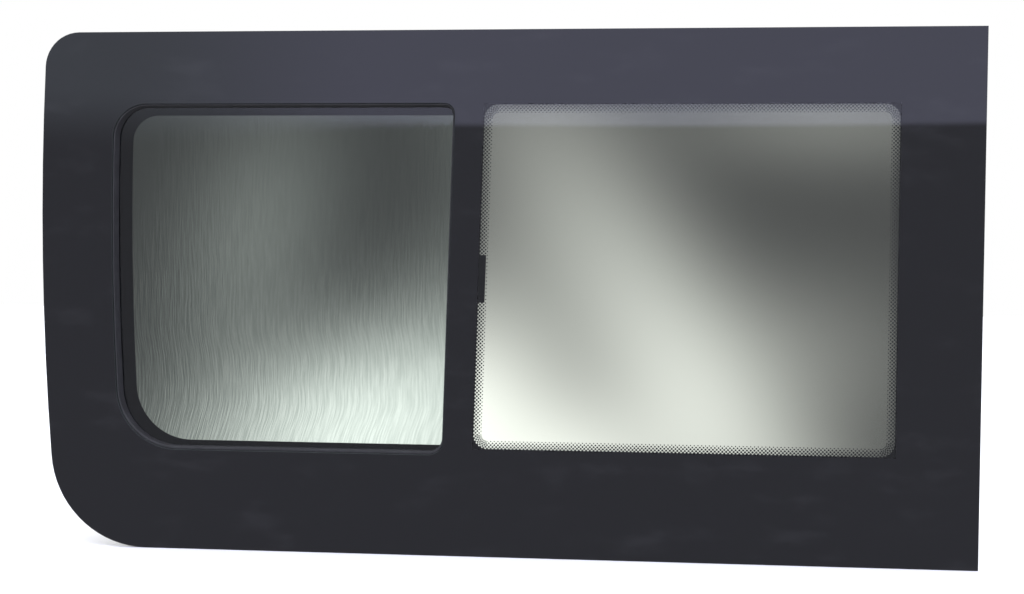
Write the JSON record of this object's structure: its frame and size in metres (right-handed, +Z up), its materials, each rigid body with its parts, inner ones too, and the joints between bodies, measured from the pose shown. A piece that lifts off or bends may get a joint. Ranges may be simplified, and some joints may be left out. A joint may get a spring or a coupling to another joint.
{
  "type": "sliding van window",
  "caption": "Bonded half-slider side window for a van: dark glass with a black printed border, a sealed opening with a sliding pane on framed rails, and a fixed clear zone.",
  "frame": {"origin": "on the bonding face, which is the flat back of the printed band round the panel's edge, at the middle of the lower band's width and of the panel's length", "axes": "+X along the window to the right as seen from outside, the way the pane slides open; +Y inwards, out of the bonding face; +Z up"},
  "size_m": [1.15, 0.0404, 0.643],
  "materials": {
    "panel_glass": "tinted toughened glass, polished",
    "slider_glass": "green-tinted toughened glass, polished",
    "black_print": "fired black ceramic print",
    "seal_rubber": "satin black rubber",
    "black_frame": "black anodised extrusion",
    "adhesive": "cured black adhesive",
    "glide_nylon": "black nylon",
    "latch_plastic": "moulded black plastic, fine grain",
    "keeper_steel": "black coated steel"
  },
  "bodies": {
    "panel": {"outer_glass": "panel_glass", "bonding_band": "black_print", "printed_border": "black_print", "opening_seal": "seal_rubber", "upper_rail": "black_frame", "lower_rail": "black_frame", "closing_jamb": "black_frame", "end_jamb": "black_frame", "closing_seal": "seal_rubber", "upper_bead": "adhesive", "lower_bead": "adhesive", "closing_bead": "adhesive", "end_bead": "adhesive", "latch_keeper": "keeper_steel", "lower_stop": "seal_rubber", "upper_stop": "seal_rubber"},
    "slider": {"sliding_glass": "slider_glass", "slider_print": "black_print", "pull_stile": "black_frame", "lower_leading_glide": "glide_nylon", "lower_trailing_glide": "glide_nylon", "upper_leading_glide": "glide_nylon", "upper_trailing_glide": "glide_nylon", "latch_body": "latch_plastic", "latch_lever": "latch_plastic"}
  },
  "joints": [
    {"name": "pane_slide", "type": "slide", "parent": "panel", "child": "slider", "axis": [1, 0, 0], "range_m": [0, 0.425]}
  ]
}
